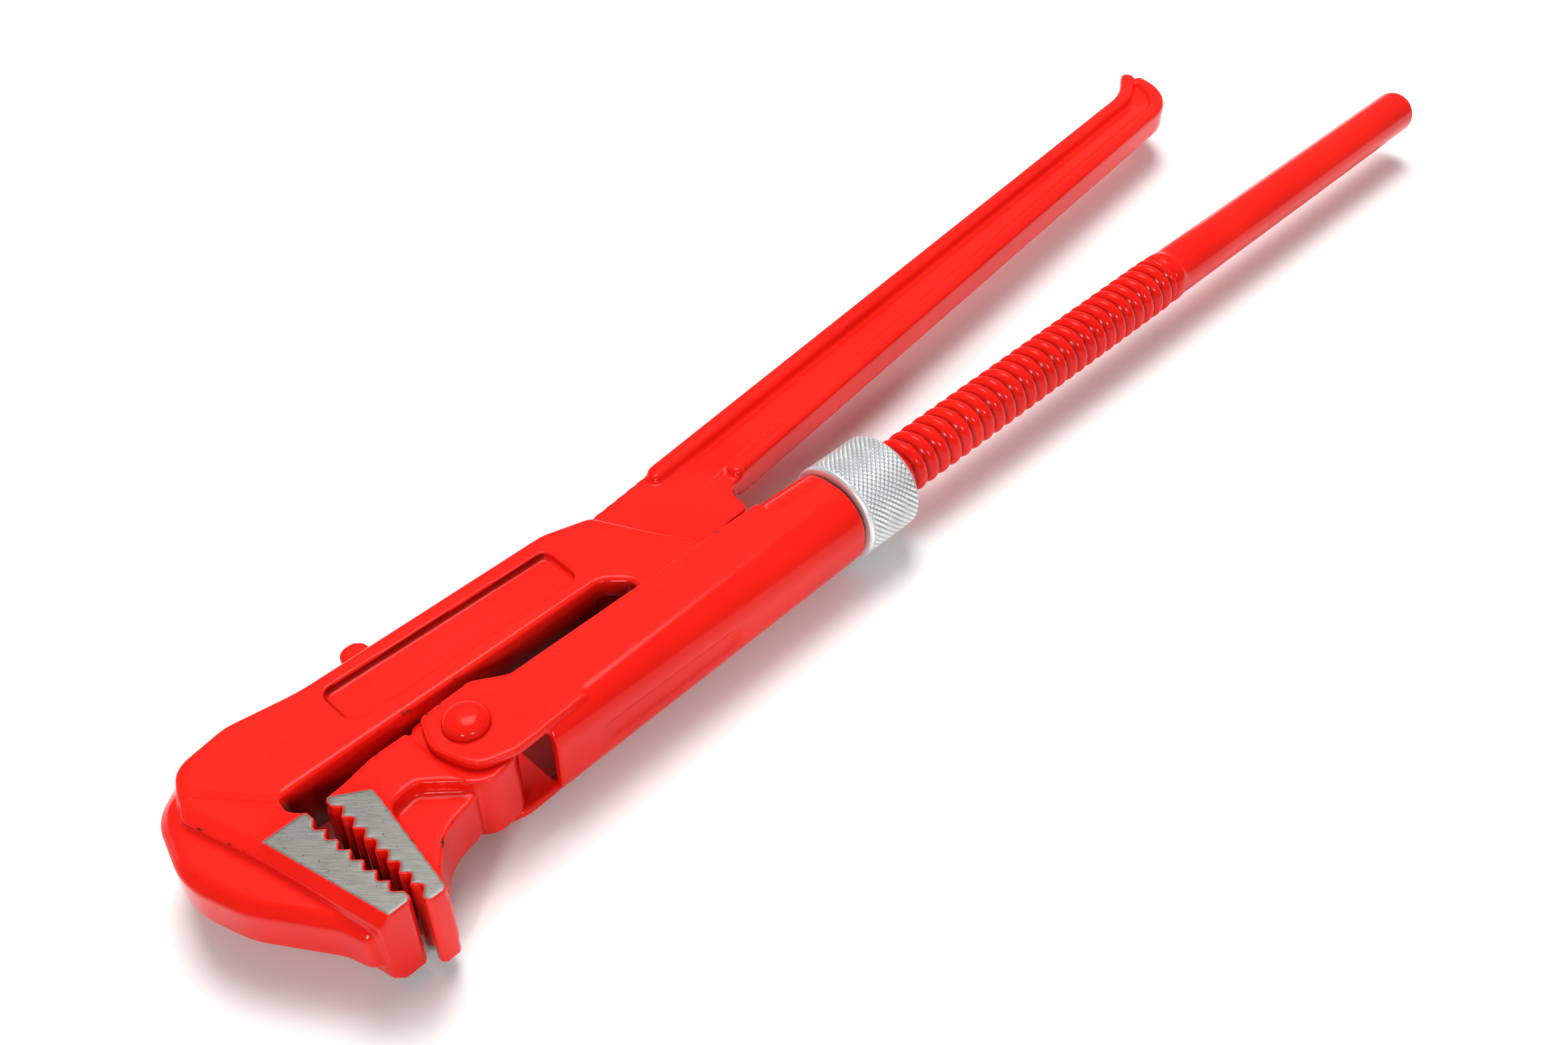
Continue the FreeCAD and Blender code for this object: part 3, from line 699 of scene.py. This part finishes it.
def nut_mesh():
    """Nut body: bore, faces, smooth flange and diamond knurl, as one closed turned skin."""
    around = KNURL_STARTS * POINTS_PER_START
    angles = np.arange(around) * (2 * math.pi / around)
    flange_end = NUT_FRONT_X + NUT_FLANGE
    chamfer_x = NUT_REAR_X - NUT_CHAMFER
    # each ring: x, radius and depth of the knurl there
    rings = [(NUT_REAR_X - BORE_CHAMFER, NUT_BORE_R, 0),
             (NUT_FRONT_X + BORE_CHAMFER, NUT_BORE_R, 0),
             (NUT_FRONT_X, NUT_BORE_R + BORE_CHAMFER, 0),
             (NUT_FRONT_X, NUT_R - NUT_RIM_ROUND, 0),
             (NUT_FRONT_X + NUT_RIM_INSET, NUT_R - NUT_RIM_INSET, 0),
             (NUT_FRONT_X + NUT_RIM_ROUND, NUT_R, 0),
             (flange_end - NUT_FLANGE_ROUND, NUT_R, 0),
             (flange_end - NUT_FLANGE_INSET, NUT_R - NUT_FLANGE_INSET, 0),
             (flange_end, NUT_BODY_R - KNURL_DEPTH, 0)]
    for x in np.arange(flange_end + 0.15, chamfer_x, KNURL_STEP_X):
        rings.append((x, NUT_BODY_R, KNURL_DEPTH))
    for i in range(1, CHAMFER_STEPS + 1):
        share = i / CHAMFER_STEPS
        rings.append((chamfer_x + NUT_CHAMFER * share,
                      NUT_BODY_R - NUT_CHAMFER * share ** CHAMFER_POWER,
                      KNURL_DEPTH * (1 - share)))
    rings.append((NUT_REAR_X, NUT_BORE_R + BORE_CHAMFER, 0))
    rows, shades = [], []
    for x, radius, depth in rings:
        turn = KNURL_STARTS * (x - NUT_FRONT_X) / KNURL_LEAD
        place = KNURL_STARTS * angles / (2 * math.pi)
        valley = np.minimum(saw(place + turn), saw(place - turn))
        groove = 1 - np.minimum(valley * KNURL_SHARPNESS, 1.0)
        relief = depth * groove
        # painted shade in the knurl's grooves
        shades.append(KNURL_SHADE * ramp(groove, *KNURL_FADE) * min(1.0, depth / KNURL_DEPTH))
        full = radius - relief
        rows.append(np.stack([np.full(around, x), full * np.cos(angles),
                              full * np.sin(angles)], 1))
    faces = []
    for i in range(len(rings)):
        a, b = i * around, ((i + 1) % len(rings)) * around
        for j in range(around):
            k = (j + 1) % around
            faces.append((a + j, a + k, b + k, b + j))
    mesh = bpy.data.meshes.new("adjusting_nut_knurled")
    mesh.from_pydata([tuple(p) for p in to_row(np.concatenate(rows))], [], faces)
    build = bmesh.new()
    build.from_mesh(mesh)
    bmesh.ops.recalc_face_normals(build, faces=build.faces)
    build.to_mesh(mesh)
    build.free()
    paint_shade(mesh, np.concatenate(shades))
    return mesh


new_piece("adjusting_nut_knurled", nut_mesh(), "nut", "zinc", zinc_plate, "adjusting_nut")

# ---------------------------------------------------------------- pins kept from the CAD
for name in ("lever_pin", "leg_pin"):
    nodes[name].data.materials.clear()
    nodes[name].data.materials.append(pin_steel)

# ---------------------------------------------------------------- floor, light and camera
FLOOR_HALF = 6.0
floor_mesh = bpy.data.meshes.new("floor")
floor_mesh.from_pydata([(-FLOOR_HALF, -FLOOR_HALF, 0), (FLOOR_HALF, -FLOOR_HALF, 0),
                        (FLOOR_HALF, FLOOR_HALF, 0), (-FLOOR_HALF, FLOOR_HALF, 0)], [],
                       [(0, 1, 2, 3)])
floor = bpy.data.objects.new("floor", floor_mesh)
bpy.context.scene.collection.objects.link(floor)
paper = Shader("floor_paper")
paper.set(Base_Color=(0.86, 0.86, 0.86, 1), Roughness=0.7)
floor_mesh.materials.append(paper.material)

world = bpy.data.worlds.new("studio")
bpy.context.scene.world = world
world.use_nodes = True
background = world.node_tree.nodes["Background"]
background.inputs["Color"].default_value = (1, 1, 1, 1)
background.inputs["Strength"].default_value = 0.24


def softbox(name, place, size, power, mirrored=True):
    """Square area light turned to the part's middle; unmirrored, the gloss doesn't show it."""
    data = bpy.data.lights.new(name, "AREA")
    data.shape = "SQUARE"
    data.size = size
    data.energy = power
    light = bpy.data.objects.new(name, data)
    bpy.context.scene.collection.objects.link(light)
    light.location = place
    light.rotation_euler = (-Vector(place)).to_track_quat("-Z", "Y").to_euler()
    light.visible_glossy = mirrored


softbox("key_soft", (0.42, 0.66, 1.22), 0.9, 25.0, mirrored=False)
softbox("key_gloss", (0.22, 0.30, 1.46), 0.7, 8.0)
softbox("front_left", (-0.9, -0.55, 0.5), 0.13, 3.2)
softbox("front_right", (-0.3, -1.0, 0.6), 0.13, 3.2)

# the camera looks from the jaws' end, down on the wrench
LENS, SENSOR_WIDTH = 37.5, 36.0
AZIMUTH, ELEVATION = math.radians(-45.74), math.radians(43.47)
CAMERA_AIM = to_row((-30.9, 4.7, 0.0))
CAMERA_DISTANCE = 281.7 * MM
back = Vector((math.sin(AZIMUTH) * math.cos(ELEVATION),
               -math.cos(AZIMUTH) * math.cos(ELEVATION), math.sin(ELEVATION)))
right = Vector((math.cos(AZIMUTH), math.sin(AZIMUTH), 0))
up = back.cross(right)
camera_data = bpy.data.cameras.new("camera")
camera_data.sensor_width = SENSOR_WIDTH
camera_data.lens = LENS
camera_data.clip_start = 0.01
camera = bpy.data.objects.new("camera", camera_data)
bpy.context.scene.collection.objects.link(camera)
camera_turn = Matrix((right, up, back)).transposed().to_4x4()
camera.matrix_world = Matrix.Translation(Vector(CAMERA_AIM) + back * CAMERA_DISTANCE) @ camera_turn
bpy.context.scene.camera = camera
bpy.context.scene.view_settings.view_transform = "Standard"
